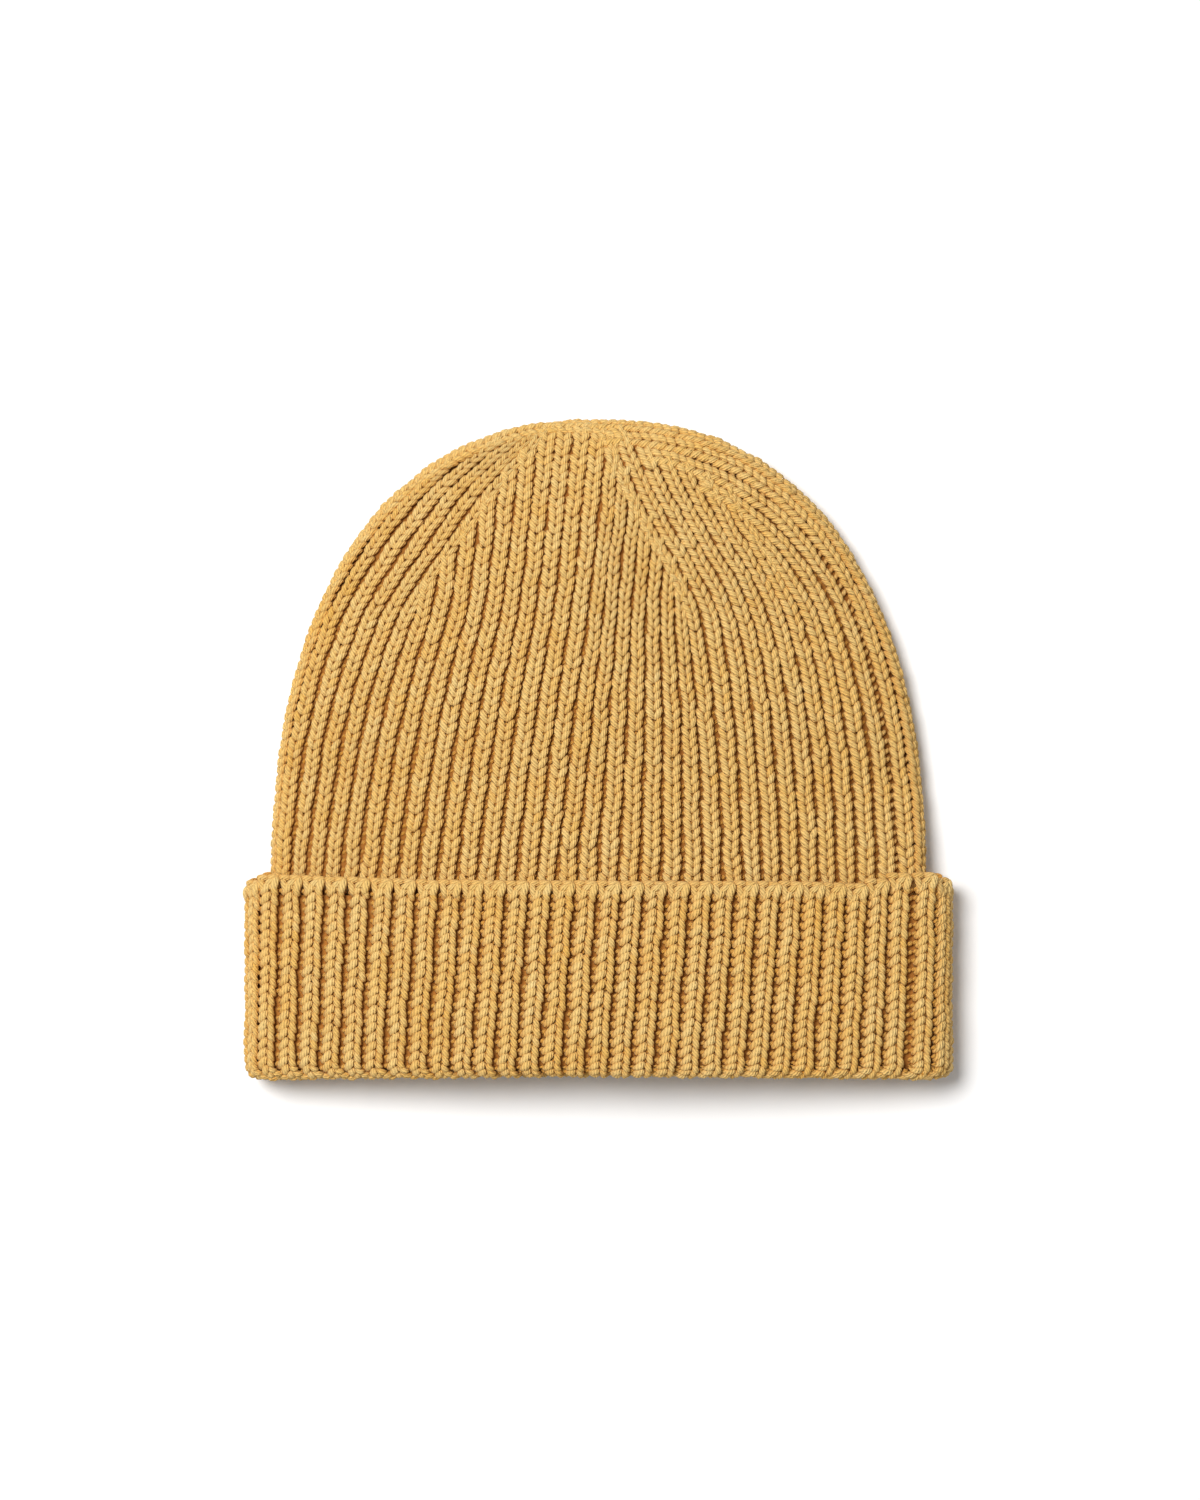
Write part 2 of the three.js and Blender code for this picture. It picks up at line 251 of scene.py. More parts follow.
def yarn_material(name, plied, painted_shade_colour=YARN_PAINTED_SHADE):
    """Mustard yarn: soft, matt and loosely twisted from thin plies, with a fine fibre bump.

    Depth paints shade: it draws the colour towards painted_shade_colour in the valleys. Tone makes
    a strand lighter or darker. Yarn that isn't plied has the fibre bump alone.
    """
    material = bpy.data.materials.new(name)
    material.use_nodes = True
    nodes, links = material.node_tree.nodes, material.node_tree.links
    shader = nodes["Principled BSDF"]
    shader.inputs["Roughness"].default_value = 0.88
    shader.inputs["Specular IOR Level"].default_value = 0.03
    shader.inputs["Sheen Weight"].default_value = 0.12
    shader.inputs["Sheen Roughness"].default_value = 0.45
    shader.inputs["Sheen Tint"].default_value = (1.0, 0.86, 0.6, 1)
    place = nodes.new("ShaderNodeTexCoord")

    cloud = nodes.new("ShaderNodeTexNoise")
    cloud.inputs["Scale"].default_value = 55
    cloud.inputs["Detail"].default_value = 3
    links.new(place.outputs["Object"], cloud.inputs["Vector"])
    fibre = nodes.new("ShaderNodeTexNoise")
    fibre.inputs["Scale"].default_value = 1500
    fibre.inputs["Detail"].default_value = 2
    links.new(place.outputs["Object"], fibre.inputs["Vector"])

    deep = nodes.new("ShaderNodeAttribute")
    deep.attribute_name = "Depth"
    tone = nodes.new("ShaderNodeAttribute")
    tone.attribute_name = "Tone"
    lightness = nodes.new("ShaderNodeMath")
    lightness.operation = "MULTIPLY_ADD"
    links.new(cloud.outputs["Fac"], lightness.inputs[0])
    lightness.inputs[1].default_value = CLOUD_SHARE
    links.new(tone.outputs["Fac"], lightness.inputs[2])
    crest = nodes.new("ShaderNodeValToRGB")
    crest.color_ramp.elements[0].position = 0.25
    crest.color_ramp.elements[0].color = YARN_SHADE
    crest.color_ramp.elements[1].position = 0.78
    crest.color_ramp.elements[1].color = YARN_LIGHT
    links.new(lightness.outputs[0], crest.inputs["Fac"])
    # Painted shade: the deeper the yarn lies, the more its colour is drawn towards the shade
    # colour.
    shaded = nodes.new("ShaderNodeMixRGB")
    links.new(deep.outputs["Fac"], shaded.inputs["Fac"])
    links.new(crest.outputs["Color"], shaded.inputs["Color1"])
    shaded.inputs["Color2"].default_value = painted_shade_colour
    links.new(shaded.outputs["Color"], shader.inputs["Base Color"])
    if not plied:
        dimple = nodes.new("ShaderNodeBump")
        dimple.inputs["Strength"].default_value = 0.5
        dimple.inputs["Distance"].default_value = 0.0004
        links.new(fibre.outputs["Fac"], dimple.inputs["Height"])
        links.new(dimple.outputs["Normal"], shader.inputs["Normal"])
        return material

    # The plies wind round each grain: "Yarn" counts the turn round it and the way along it in mm.
    yarn = nodes.new("ShaderNodeUVMap")
    yarn.uv_map = "Yarn"
    split = nodes.new("ShaderNodeSeparateXYZ")
    links.new(yarn.outputs["UV"], split.inputs["Vector"])
    wind = nodes.new("ShaderNodeMath")
    wind.operation = "MULTIPLY"
    wind.inputs[1].default_value = PLIES
    links.new(split.outputs["X"], wind.inputs[0])
    advance = nodes.new("ShaderNodeMath")
    advance.operation = "MULTIPLY_ADD"
    advance.inputs[1].default_value = -1 / PLY_STEP
    links.new(split.outputs["Y"], advance.inputs[0])
    links.new(wind.outputs[0], advance.inputs[2])
    stray = nodes.new("ShaderNodeMath")
    stray.operation = "MULTIPLY_ADD"
    stray.inputs[1].default_value = STRAY_SHARE
    links.new(fibre.outputs["Fac"], stray.inputs[0])
    links.new(advance.outputs[0], stray.inputs[2])
    turn = nodes.new("ShaderNodeMath")
    turn.operation = "MULTIPLY"
    turn.inputs[1].default_value = 2 * math.pi
    links.new(stray.outputs[0], turn.inputs[0])
    ridge = nodes.new("ShaderNodeMath")
    ridge.operation = "SINE"
    links.new(turn.outputs[0], ridge.inputs[0])

    # Painted shade darkens the grooves between the plies, and each ply is mottled.
    groove_shade = nodes.new("ShaderNodeMapRange")
    groove_shade.inputs["From Min"].default_value = -1
    groove_shade.inputs["From Max"].default_value = 0.7
    groove_shade.inputs["To Min"].default_value = 0.80
    groove_shade.inputs["To Max"].default_value = 1.0
    links.new(ridge.outputs[0], groove_shade.inputs["Value"])
    grooved = nodes.new("ShaderNodeVectorMath")
    grooved.operation = "SCALE"
    links.new(shaded.outputs["Color"], grooved.inputs[0])
    streak_place = nodes.new("ShaderNodeCombineXYZ")
    links.new(stray.outputs[0], streak_place.inputs["X"])
    links.new(split.outputs["Y"], streak_place.inputs["Y"])
    streak = nodes.new("ShaderNodeTexNoise")
    streak.inputs["Scale"].default_value = 0.9
    streak.inputs["Detail"].default_value = 3
    links.new(streak_place.outputs[0], streak.inputs["Vector"])
    mottle = nodes.new("ShaderNodeMapRange")
    mottle.inputs["From Min"].default_value = 0.3
    mottle.inputs["From Max"].default_value = 0.7
    mottle.inputs["To Min"].default_value = 0.80
    mottle.inputs["To Max"].default_value = 1.09
    links.new(streak.outputs["Fac"], mottle.inputs["Value"])
    groove_shade_and_mottle = nodes.new("ShaderNodeMath")
    groove_shade_and_mottle.operation = "MULTIPLY"
    links.new(groove_shade.outputs["Result"], groove_shade_and_mottle.inputs[0])
    links.new(mottle.outputs["Result"], groove_shade_and_mottle.inputs[1])
    links.new(groove_shade_and_mottle.outputs[0], grooved.inputs["Scale"])
    links.new(grooved.outputs[0], shader.inputs["Base Color"])

    twist = nodes.new("ShaderNodeBump")
    twist.inputs["Strength"].default_value = 0.8
    twist.inputs["Distance"].default_value = 0.00014
    links.new(ridge.outputs[0], twist.inputs["Height"])
    dimple = nodes.new("ShaderNodeBump")
    dimple.inputs["Strength"].default_value = 0.35
    dimple.inputs["Distance"].default_value = 0.0003
    links.new(fibre.outputs["Fac"], dimple.inputs["Height"])
    links.new(twist.outputs["Normal"], dimple.inputs["Normal"])
    links.new(dimple.outputs["Normal"], shader.inputs["Normal"])
    return material


# The fabric body is painted dark brown, as shade in the gaps between the stitches.
crown_body.data.materials.append(
    yarn_material("crown_fabric_shaded_yarn", plied=False, painted_shade_colour=CROWN_CORE_SHADE_COLOUR)
)

# The crown's columns of knit stitches. Every stitch is two plump legs of plied yarn that spread
# upwards from a point, each tucked under the next. Three lines of decreases shape the top of the
# front, and mirrored, of the back. Columns end on them, or run along the outline to the gather.
LEVEL = 45.0
REFERENCE_LEVEL = -32.0
FRONT_RIBS = 32
CROWN_GAPS = np.array([
    # number of the gap between two columns, counted from the left; its x at the reference level
    (0, -97.9),
    (2, -86.9),
    (4, -75.6),
    (8, -50.2),
    (16, 0.2),
    (20, 26.6),
    (24, 51.6),
    (28, 75.7),
    (32, 101.4),
])

DARTS = np.array([
    # y, left, middle, right
    (45.0, -58.0, 28.0, 65.0),
    (52.0, -53.0, 24.5, 60.8),
    (62.0, -45.2, 18.5, 55.5),
    (72.5, -38.2, 12.2, 48.5),
    (82.0, -31.8, 7.4, 38.5),
    (87.0, -27.8, 5.2, 31.5),
    (93.5, -21.4, 2.6, 17.5),
    (97.0, -18.8, 1.4, 9.0),
    (100.0, -17.2, 0.6, 4.5),
    (102.5, -16.0, -1.5, 1.5),
    (104.5, -15.0, -3.0, 0.0),
])


def dart(name, y):
    """Where a line of decreases runs."""
    column = {"left": 1, "middle": 2, "right": 3}[name]
    return np.interp(y, DARTS[:, 0], DARTS[:, column])


def half_width_at(y):
    """Half the crown's width at y, on its outline."""
    height = np.clip((y - CUFF_TOP) / (CROWN_TOP - CUFF_TOP), 0, 1)
    return CROWN_HALF_WIDTH * (1 - height**OUTLINE_POWER) ** (1 / OUTLINE_POWER)


def ring_length(section, x):
    """Distance from the middle of the front, round the section, to a point of its front."""
    side = np.sign(x)
    x = np.abs(x)
    top_end = section["top_radius"] * np.sin(section["angle"])
    on_top = section["top_radius"] * np.arcsin(np.clip(x / section["top_radius"], 0, 1))
    lean = np.arcsin(np.clip((x - section["reach"]) / section["radius"], -1, 1))
    on_side = section["top"] + section["radius"] * (lean - section["angle"])
    return side * np.where(x <= top_end, on_top, on_side)


LEFT_LEAN = 0.1
UPRIGHT_X = 30
LEAN_WIDTH = 40
LEAST_LEAN = -0.15
EDGE_POWER = 8


def front_x(gap, y):
    """Where a gap between two of the front's columns runs, below the decreases."""
    start = np.interp(gap, CROWN_GAPS[:, 0], CROWN_GAPS[:, 1])
    share = start / half_width_at(REFERENCE_LEVEL)
    lean = LEFT_LEAN * np.clip((UPRIGHT_X - start) / LEAN_WIDTH, LEAST_LEAN, 1)
    lean = lean * (1 - share**EDGE_POWER)
    return share * half_width_at(y) + lean * (y - REFERENCE_LEVEL)


def lower_run(rib, y):
    """Distance round the ring of a column's middle. Ribs count from the front's left gap."""
    section = crown_section(y)
    if 0 <= rib < FRONT_RIBS:
        return ring_length(section, front_x(rib, y))
    whole = 2 * (section["front"] + section["back"])
    first = ring_length(section, front_x(0, y))
    last = ring_length(section, front_x(FRONT_RIBS, y))
    share = (rib - FRONT_RIBS) / (RIBS - FRONT_RIBS)
    return last + share * (whole - (last - first))


NEAR_SIDE = 0.9995


def height_on(x, y, front):
    """Height of the crown's front or back over a point of the plan."""
    section = crown_section(y)
    x = np.minimum(np.abs(x), section["reach"] + section["radius"] * NEAR_SIDE)
    top_end = section["top_radius"] * np.sin(section["angle"])
    over = section["high"] - section["top_radius"] + np.sqrt(
        np.maximum(section["top_radius"] ** 2 - x**2, 0)
    )
    bow = np.sqrt(np.maximum(section["radius"] ** 2 - (x - section["reach"]) ** 2, 0))
    middle = section["low"] + section["radius"]
    if front:
        return np.where(x <= top_end, over, middle + bow)
    return np.where(x <= section["reach"], section["low"], middle - bow)


def surface_normal(x, y, front):
    """The way out of the crown's front or back, over a point of the plan."""
    step = 0.02
    across = (height_on(x + step, y, front) - height_on(x - step, y, front)) / (2 * step)
    upward = (height_on(x, y + step, front) - height_on(x, y - step, front)) / (2 * step)
    normal = np.stack([-across, -upward, np.ones_like(across)], -1)
    normal /= np.linalg.norm(normal, axis=-1)[..., None]
    return normal if front else -normal


def from_outline(x, y):
    """Distance of a point of the plan from the crown's outline, square to it."""
    slope = half_width_at(y + 0.5) - half_width_at(y - 0.5)
    return (half_width_at(y) - np.abs(x)) / np.hypot(1, slope)


OUTLINE_START = 20
OUTLINE_TURN = math.pi * 0.62
OUTLINE_POINTS = 900
DECREASE_START = LEVEL + 4
LEFT_EDGE_OVERLAP = 1
RIGHT_EDGE_OVERLAP = 2.5


def along_outline(x_start):
    """Plan of a column that keeps its distance from the outline, up to the gather."""
    side = np.sign(x_start)
    low = (OUTLINE_START - CUFF_TOP) / (CROWN_TOP - CUFF_TOP)
    first_turn = math.asin(low ** (OUTLINE_POWER / 2))
    angle = np.linspace(first_turn, OUTLINE_TURN, OUTLINE_POINTS)
    reach = np.abs(np.cos(angle)) ** (2 / OUTLINE_POWER) * np.sign(np.cos(angle))
    out_x = CROWN_HALF_WIDTH * reach
    out_y = CUFF_TOP + (CROWN_TOP - CUFF_TOP) * np.sin(angle) ** (2 / OUTLINE_POWER)
    away = np.hypot(out_x - abs(x_start), out_y - LEVEL)
    first, inset = int(np.argmin(away)), float(away.min())
    step_x, step_y = np.gradient(out_x), np.gradient(out_y)
    length = np.hypot(step_x, step_y)
    x = side * (out_x - step_y / length * inset)[first:]
    y = (out_y + step_x / length * inset)[first:]
    if side < 0:
        ended = (x > dart("left", y) + LEFT_EDGE_OVERLAP) & (y > DECREASE_START)
    else:
        ended = (x < dart("right", y) - RIGHT_EDGE_OVERLAP) & (y > DECREASE_START)
    return x, y, ended


GORE_SPREAD = 0.97
SPREAD_END = LEVEL + 20


def left_gore_x(x_start, y):
    """Where a column of the left gore runs.

    It keeps nearly its share of the way from the outline to the left line of decreases, so that
    the columns fill the gore evenly up to the top.
    """
    gore = dart("left", y) + half_width_at(y)
    share = (x_start + half_width_at(LEVEL)) / (dart("left", LEVEL) + half_width_at(LEVEL))
    share = share + (share**GORE_SPREAD - share) * smoothstep(LEVEL, SPREAD_END, y)
    return gore * share - half_width_at(y)


PLAN_STEP = 0.5
TOP_MARGIN = 2
EDGE_COLUMN = 5.0
ROOM_STEP = 0.2
STEEPEST = 0.2
COLUMN_END = 3.5
GORE_END_START = LEVEL + 15
CENTRE_LEAN = 0.1
LEFT_OVERLAP = 2.6
MIDDLE_OVERLAP = 4.2
RIGHT_OVERLAP = 4.5


def upper_plan(x_start, mirrored):
    """Plan of one column above the level where the decreases begin, and its room across.

    The room is given for the left gore alone, as a share of the room that the column starts with.
    """
    flip = -1.0 if mirrored else 1.0
    x_start = float(x_start) * flip
    y = np.arange(LEVEL, CROWN_TOP - TOP_MARGIN, PLAN_STEP)
    room = None
    if x_start > dart("right", LEVEL) or x_start < EDGE_COLUMN - half_width_at(LEVEL):
        x, y, ended = along_outline(x_start)
    elif x_start < dart("left", LEVEL):
        x = left_gore_x(x_start, y)
        beside = left_gore_x(x_start + ROOM_STEP, y) - left_gore_x(x_start - ROOM_STEP, y)
        tilt = surface_normal(x, y, True)[:, 2]
        room = beside / beside[0] * tilt[0] / np.maximum(tilt, STEEPEST)
        ended = (from_outline(x, y) < COLUMN_END) & (y > GORE_END_START)
    elif x_start < dart("middle", LEVEL):
        x = x_start + CENTRE_LEAN * (y - LEVEL)
        ended = (x < dart("left", y) - LEFT_OVERLAP) | (x > dart("middle", y) + MIDDLE_OVERLAP)
    else:
        x = dart("middle", y) + (x_start - dart("middle", LEVEL))
        ended = x > dart("right", y) + RIGHT_OVERLAP
    count = int(np.argmax(ended)) if ended.any() else len(x)
    return flip * x[:count], y[:count], None if room is None else room[:count]


def on_crown(x, y, front):
    """Points of the crown's front or back over the plan, and the way out at each."""
    return np.stack([x, y, height_on(x, y, front)], -1), surface_normal(x, y, front)


LOWER_STEP = 0.75
PROBE = 0.05
PITCH_PROBE = 0.25
LEAST_PITCH = 0.72
LEAST_GORE_PITCH = 0.5
PITCH_BLEND = 14
CROWN_PASSES = 24
CROWN_BEND_PASSES = 130


def crown_path(rib, start_y):
    """Middle line of one column of stitches, and its distance from the next one."""
    y = np.arange(start_y, LEVEL, LOWER_STEP)
    section, run = crown_section(y), lower_run(rib, y)
    points = on_ring(section, y, run)
    ahead = on_ring(section, y, run + PROBE) - points
    upward = on_ring(crown_section(y + PROBE), y + PROBE, run) - points
    normals = np.cross(ahead, upward)
    normals /= np.linalg.norm(normals, axis=1)[:, None]
    pitch = lower_run(rib + PITCH_PROBE, y) - lower_run(rib - PITCH_PROBE, y)
    pitch = np.where(pitch < 0, pitch + 2 * (section["front"] + section["back"]), pitch)
    pitch = pitch / (2 * PITCH_PROBE)
    level = np.array([LEVEL])
    end_section = crown_section(level)
    end = on_ring(end_section, level, lower_run(rib, level))[0]
    front = end[2] >= (end_section["low"] + end_section["radius"])[0]
    x, y, room = upper_plan(end[0], mirrored=not front)
    if len(x) > 2:
        upper_points, upper_normals = on_crown(x, y, front)
        points = np.concatenate([points, upper_points])
        normals = np.concatenate([normals, upper_normals])
        lean = np.gradient(y) / (np.hypot(np.gradient(x), np.gradient(y)) + TINY)
        if room is None:
            narrowed = np.maximum(np.abs(lean), max(lean[0], LEAST_PITCH))
        else:
            narrowed = np.maximum(np.abs(lean) * room, LEAST_GORE_PITCH)
        blend = np.clip(np.arange(len(y)) / PITCH_BLEND, 0, 1)
        pitch = np.concatenate([pitch, pitch[-1] * (1 + (narrowed - 1) * blend)])
    return smooth_path(
        points, normals, pitch, passes=CROWN_PASSES, bend_passes=CROWN_BEND_PASSES
    )


PATH_STEP = 0.8
HELD_POINTS = 14


def smooth_path(points, normals, pitch, passes=6, bend_passes=0):
    """A line through the points with even steps, and at each the ways up, across and the pitch."""
    length = np.concatenate([[0], np.cumsum(np.linalg.norm(np.diff(points, axis=0), axis=1))])
    along = np.arange(0, length[-1], PATH_STEP)
    points = np.stack([np.interp(along, length, points[:, i]) for i in range(3)], -1)
    normals = np.stack([np.interp(along, length, normals[:, i]) for i in range(3)], -1)
    pitch = np.interp(along, length, pitch)
    for turn in range(passes + bend_passes):
        # The further passes ease the bends, and leave the last centimetre as it is.
        end = len(points) - (1 if turn < passes else HELD_POINTS)
        for line in (points, normals):
            if end > 2:
                beside = line[2:end + 1] + line[:end - 1]
                line[1:end] = line[1:end] * 0.5 + beside * 0.25
    normals /= np.linalg.norm(normals, axis=1)[:, None]
    length = np.concatenate([[0], np.cumsum(np.linalg.norm(np.diff(points, axis=0), axis=1))])
    forward = np.gradient(points, axis=0)
    forward /= np.linalg.norm(forward, axis=1)[:, None]
    across = np.cross(forward, normals)
    across /= np.linalg.norm(across, axis=1)[:, None]
    normals = np.cross(across, forward)
    return {
        "points": points, "up": normals, "across": across, "length": length, "pitch": pitch,
    }


POLE_HEIGHT = 0.999
LEAST_FULLNESS = 0.01
BLUNTNESS = -0.45


def grain_shape(sides, rings):
    """A plump closed grain of yarn, its axis along Z from -1 to 1, with yarn coordinates."""
    build = bmesh.new()
    bmesh.ops.create_uvsphere(build, u_segments=sides, v_segments=rings, radius=1)
    corners = np.array([vert.co for vert in build.verts])
    # The operator gives its faces in a different order each run, so they are sorted.
    faces = sorted([vert.index for vert in face.verts] for face in build.faces)
    turns = []
    for ring in faces:
        pole = [abs(corners[i][2]) > POLE_HEIGHT for i in ring]
        turn = [math.atan2(corners[i][1], corners[i][0]) / (2 * math.pi) % 1 for i in ring]
        plain = [t for t, is_pole in zip(turn, pole) if not is_pole]
        if max(plain) - min(plain) > 0.5:
            turn = [t + 1 if t < 0.5 else t for t in turn]
            plain = [t for t, is_pole in zip(turn, pole) if not is_pole]
        middle = sum(plain) / len(plain)
        turns.append([middle if is_pole else t for t, is_pole in zip(turn, pole)])
    build.free()
    fullness = np.hypot(corners[:, 0], corners[:, 1])
    fattened = np.maximum(fullness, LEAST_FULLNESS) ** BLUNTNESS
    corners[:, :2] *= np.where(fullness > LEAST_FULLNESS, fattened, 1)[:, None]
    return {"corners": corners, "faces": faces, "turns": turns}


FULL_SHADE_DEPTH = 3.2
YARN_OFFSET = 1.3


class YarnBatch:
    """Collects many grains of yarn and joins them into one mesh."""

    def __init__(self, shape):
        self.shape = shape
        self.points, self.tones, self.lengths, self.starts, self.depths = [], [], [], [], []

    def lay(self, path, at, leg, widths, tones, shifts):
        """Lays one leg of many stitches along a path, bent through three points of the leg.

        leg gives the points and the thickness, in mm across, along and above the path. at gives
        the stitches' places on the path, and widths, tones and shifts what differs between them.
        """
        corners = self.shape["corners"]
        share = ((corners[:, 2] + 1) / 2)[:, None]
        start, middle, end = (np.array(leg[key]) for key in ("from", "over", "to"))
        line = start * (1 - share) * (1 - 2 * share) + middle * 4 * share * (1 - share)
        line = line + end * share * (2 * share - 1)
        axis = (end - start)[:2] / np.linalg.norm((end - start)[:2])
        side = np.array([axis[1], -axis[0]])
        fat = 1 + leg.get("swell", 0.0) * corners[:, 2]
        line[:, 0] += side[0] * corners[:, 0] * leg["width"] * fat
        line[:, 1] += side[1] * corners[:, 0] * leg["width"] * fat
        line[:, 2] += corners[:, 1] * leg["thick"] * fat
        across = line[None, :, 0] * widths[:, None] + shifts[:, 0, None]
        along = line[None, :, 1] + at[:, None] + shifts[:, 1, None]
        above = line[None, :, 2] + shifts[:, 2, None]
        above = above + leg.get("roll", 0.0) * across
        length = path["length"]
        place = np.clip(along, length[0], length[-1])
        over = along - place
        spot = [np.interp(place, length, path["points"][:, i]) for i in range(3)]
        up = [np.interp(place, length, path["up"][:, i]) for i in range(3)]
        aside = [np.interp(place, length, path["across"][:, i]) for i in range(3)]
        ahead = np.cross(np.stack(up, -1), np.stack(aside, -1))
        found = np.stack(spot, -1) + np.stack(aside, -1) * across[..., None]
        found += np.stack(up, -1) * above[..., None] + ahead * over[..., None]
        self.points.append(found)
        self.tones.append(tones)
        self.depths.append(above)
        size = float(np.linalg.norm(end - start))
        self.lengths.append(np.full(len(at), size))
        self.starts.append(at)

    def join(self, name, material):
        """One piece of all the grains, with the yarn's coordinates, tone and depth, by which shade
        is painted.
        """
        points = np.concatenate(self.points) * MM
        tones = np.concatenate(self.tones)
        lengths = np.concatenate(self.lengths)
        starts = np.concatenate(self.starts)
        count, per_grain = points.shape[:2]
        faces, turns = self.shape["faces"], self.shape["turns"]
        ring = np.array([i for face in faces for i in face])
        sizes = np.array([len(face) for face in faces])
        turn = np.array([t for face in turns for t in face])
        height = self.shape["corners"][ring, 2]
        mesh = bpy.data.meshes.new(name)
        mesh.vertices.add(count * per_grain)
        mesh.vertices.foreach_set("co", points.astype(np.float32).ravel())
        mesh.loops.add(count * len(ring))
        loops = ring[None] + per_grain * np.arange(count)[:, None]
        mesh.loops.foreach_set("vertex_index", loops.astype(np.int32).ravel())
        mesh.polygons.add(count * len(sizes))
        all_sizes = np.tile(sizes, count)
        begin = np.concatenate([[0], np.cumsum(all_sizes)[:-1]])
        mesh.polygons.foreach_set("loop_start", begin.astype(np.int32))
        mesh.polygons.foreach_set("use_smooth", np.ones(len(all_sizes), bool))
        mesh.update(calc_edges=True)
        layer = mesh.uv_layers.new(name="Yarn")
        run = starts[:, None] * YARN_OFFSET + lengths[:, None] * (height[None] + 1) / 2
        pairs = np.stack([np.broadcast_to(turn, run.shape), run], -1)
        layer.data.foreach_set("uv", pairs.astype(np.float32).ravel())
        tone = mesh.attributes.new("Tone", "FLOAT", "POINT")
        tone.data.foreach_set("value", np.repeat(tones, per_grain).astype(np.float32))
        # Depth says how far a point lies below the crest; the material paints shade by it.
        depth = mesh.attributes.new("Depth", "FLOAT", "POINT")
        sunk = np.clip(-np.concatenate(self.depths) / FULL_SHADE_DEPTH, 0, 1)
        depth.data.foreach_set("value", sunk.astype(np.float32).ravel())
        mesh.materials.append(material)
        piece = bpy.data.objects.new(name, mesh)
        bpy.context.scene.collection.objects.link(piece)
        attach(piece, "root")
        return piece


LEFT_LEG = {
    "from": (-0.05, -1.8, -1.55), "over": (-1.28, 0.35, -1.0), "to": (-2.05, 2.9, -2.05),
    "width": 1.18, "thick": 1.14, "swell": 0.04,
}
RIGHT_LEG = {
    "from": (0.0, -1.9, -1.65), "over": (1.25, 0.35, -1.0), "to": (2.1, 2.9, -2.15),
    "width": 1.12, "thick": 1.12, "swell": 0.03,
}
HEART = {
    # The bit of the stitch below that shows between the two legs.
    "from": (0.0, -0.4, -2.5), "over": (0.0, 0.6, -2.0), "to": (0.0, 1.6, -2.5),
    "width": 0.8, "thick": 0.55,
}
FURROW_STRAND = {
    # A strand in the one gap that is drawn open, near the front's right edge.
    "from": (1.8, 0.3, -2.3), "over": (3.0, 1.1, -1.75), "to": (4.2, 1.9, -2.3),
    "width": 0.75, "thick": 0.7,
}
PURL_BAR = {
    "from": (2.2, 0.4, -3.1), "over": (3.3, 1.0, -2.75), "to": (4.4, 1.6, -3.1),
    "width": 0.75, "thick": 0.7,
}
plied_yarn = yarn_material("plied_yarn", plied=True)
fine_grain = grain_shape(sides=6, rings=5)
bar_grain = grain_shape(sides=5, rings=4)
wobble = np.random.default_rng(seed=7)
COURSE = 2.88
LAST_MARGIN = 1.0


def stitch_places(path, first):
    """Places of a column's stitches, evened out so that the last one reaches the column's end."""
    room = path["length"][-1] - first - LAST_MARGIN
    if room < 0:
        return np.zeros(0)
    steps = max(round(room / COURSE), 1)
    return first + room / steps * np.arange(steps + 1)


def sway(count, size):
    """Seeded random numbers about zero, with size as their spread."""
    return wobble.normal(0, size, count)


BASE_TONE = 0.37
COLUMN_TONE_SWAY = 0.02
LEG_TONE_SWAY = 0.035
BAR_SHADE = 0.14
BAR_TONE_SWAY = 0.03
BAR_SHIFT = 0.8
WIDTH_SWAY = 0.04
STITCH_SWAY = (0.12, 0.14, 0.08)
LEG_SWAY = (0.05, 0.1, 0.05)
WAVE_LENGTHS = (15, 23, 41)
WAVE_ACROSS = 0.09
WAVE_ABOVE = 0.08
FIRST_STITCH = 0.6


def knit_column(
    knits, bars, path, pitch_scale, legs, bar, first=FIRST_STITCH, bars_end=math.inf
):
    """Lays the stitches of one column and the bars beside it, up to bars_end along the path."""
    at = stitch_places(path, first)
    if not len(at):
        return None
    count = len(at)
    widths = pitch_scale(at) * (1 + sway(count, WIDTH_SWAY))
    base_tone = BASE_TONE + sway(1, COLUMN_TONE_SWAY)
    shifts = np.stack([sway(count, size) for size in STITCH_SWAY], -1)
    for wave_length in WAVE_LENGTHS:
        start = wobble.uniform(0, 2 * np.pi, 2)
        shifts[:, 0] += WAVE_ACROSS * np.sin(at / wave_length * 2 * np.pi + start[0])
        shifts[:, 2] += WAVE_ABOVE * np.sin(at / wave_length * 2 * np.pi + start[1])
    for leg in legs:
        tones = base_tone + leg.get("tone", 0.0) + sway(count, LEG_TONE_SWAY)
        own = shifts + np.stack([sway(count, size) for size in LEG_SWAY], -1)
        knits.lay(path, at, leg, widths, tones, own)
    # Painted shade: the bars, and the hearts laid with these tones, are BAR_SHADE darker, as they
    # sit down in the valleys.
    tones = base_tone - BAR_SHADE + sway(count, BAR_TONE_SWAY)
    barred = at < bars_end
    bars.lay(
        path, at[barred], bar, widths[barred], tones[barred], shifts[barred] * BAR_SHIFT
    )
    return at, widths, tones, shifts


STITCH_WIDTH = 6.0
WIDTH_LEVELS = (-45, LEVEL, 80, 102)
WIDTHS_UP = (0.975, 1.04, 1.11, 1.22)
WIDTH_PLACES = (-95, -60, -20)
WIDTHS_ACROSS = (0.90, 0.90, 1.0)
FURROW = 0.2
FURROW_RIBS = (30, 31)
FURROW_START = (-20.0, 0.0)
FURROW_END = (55.0, 68.0)
FURROW_TONE = 0.2
CROWN_BARS_END = 110.0
crown_front = YarnBatch(fine_grain)
crown_back = YarnBatch(fine_grain)
crown_bars = YarnBatch(bar_grain)
crown_hearts = YarnBatch(bar_grain)


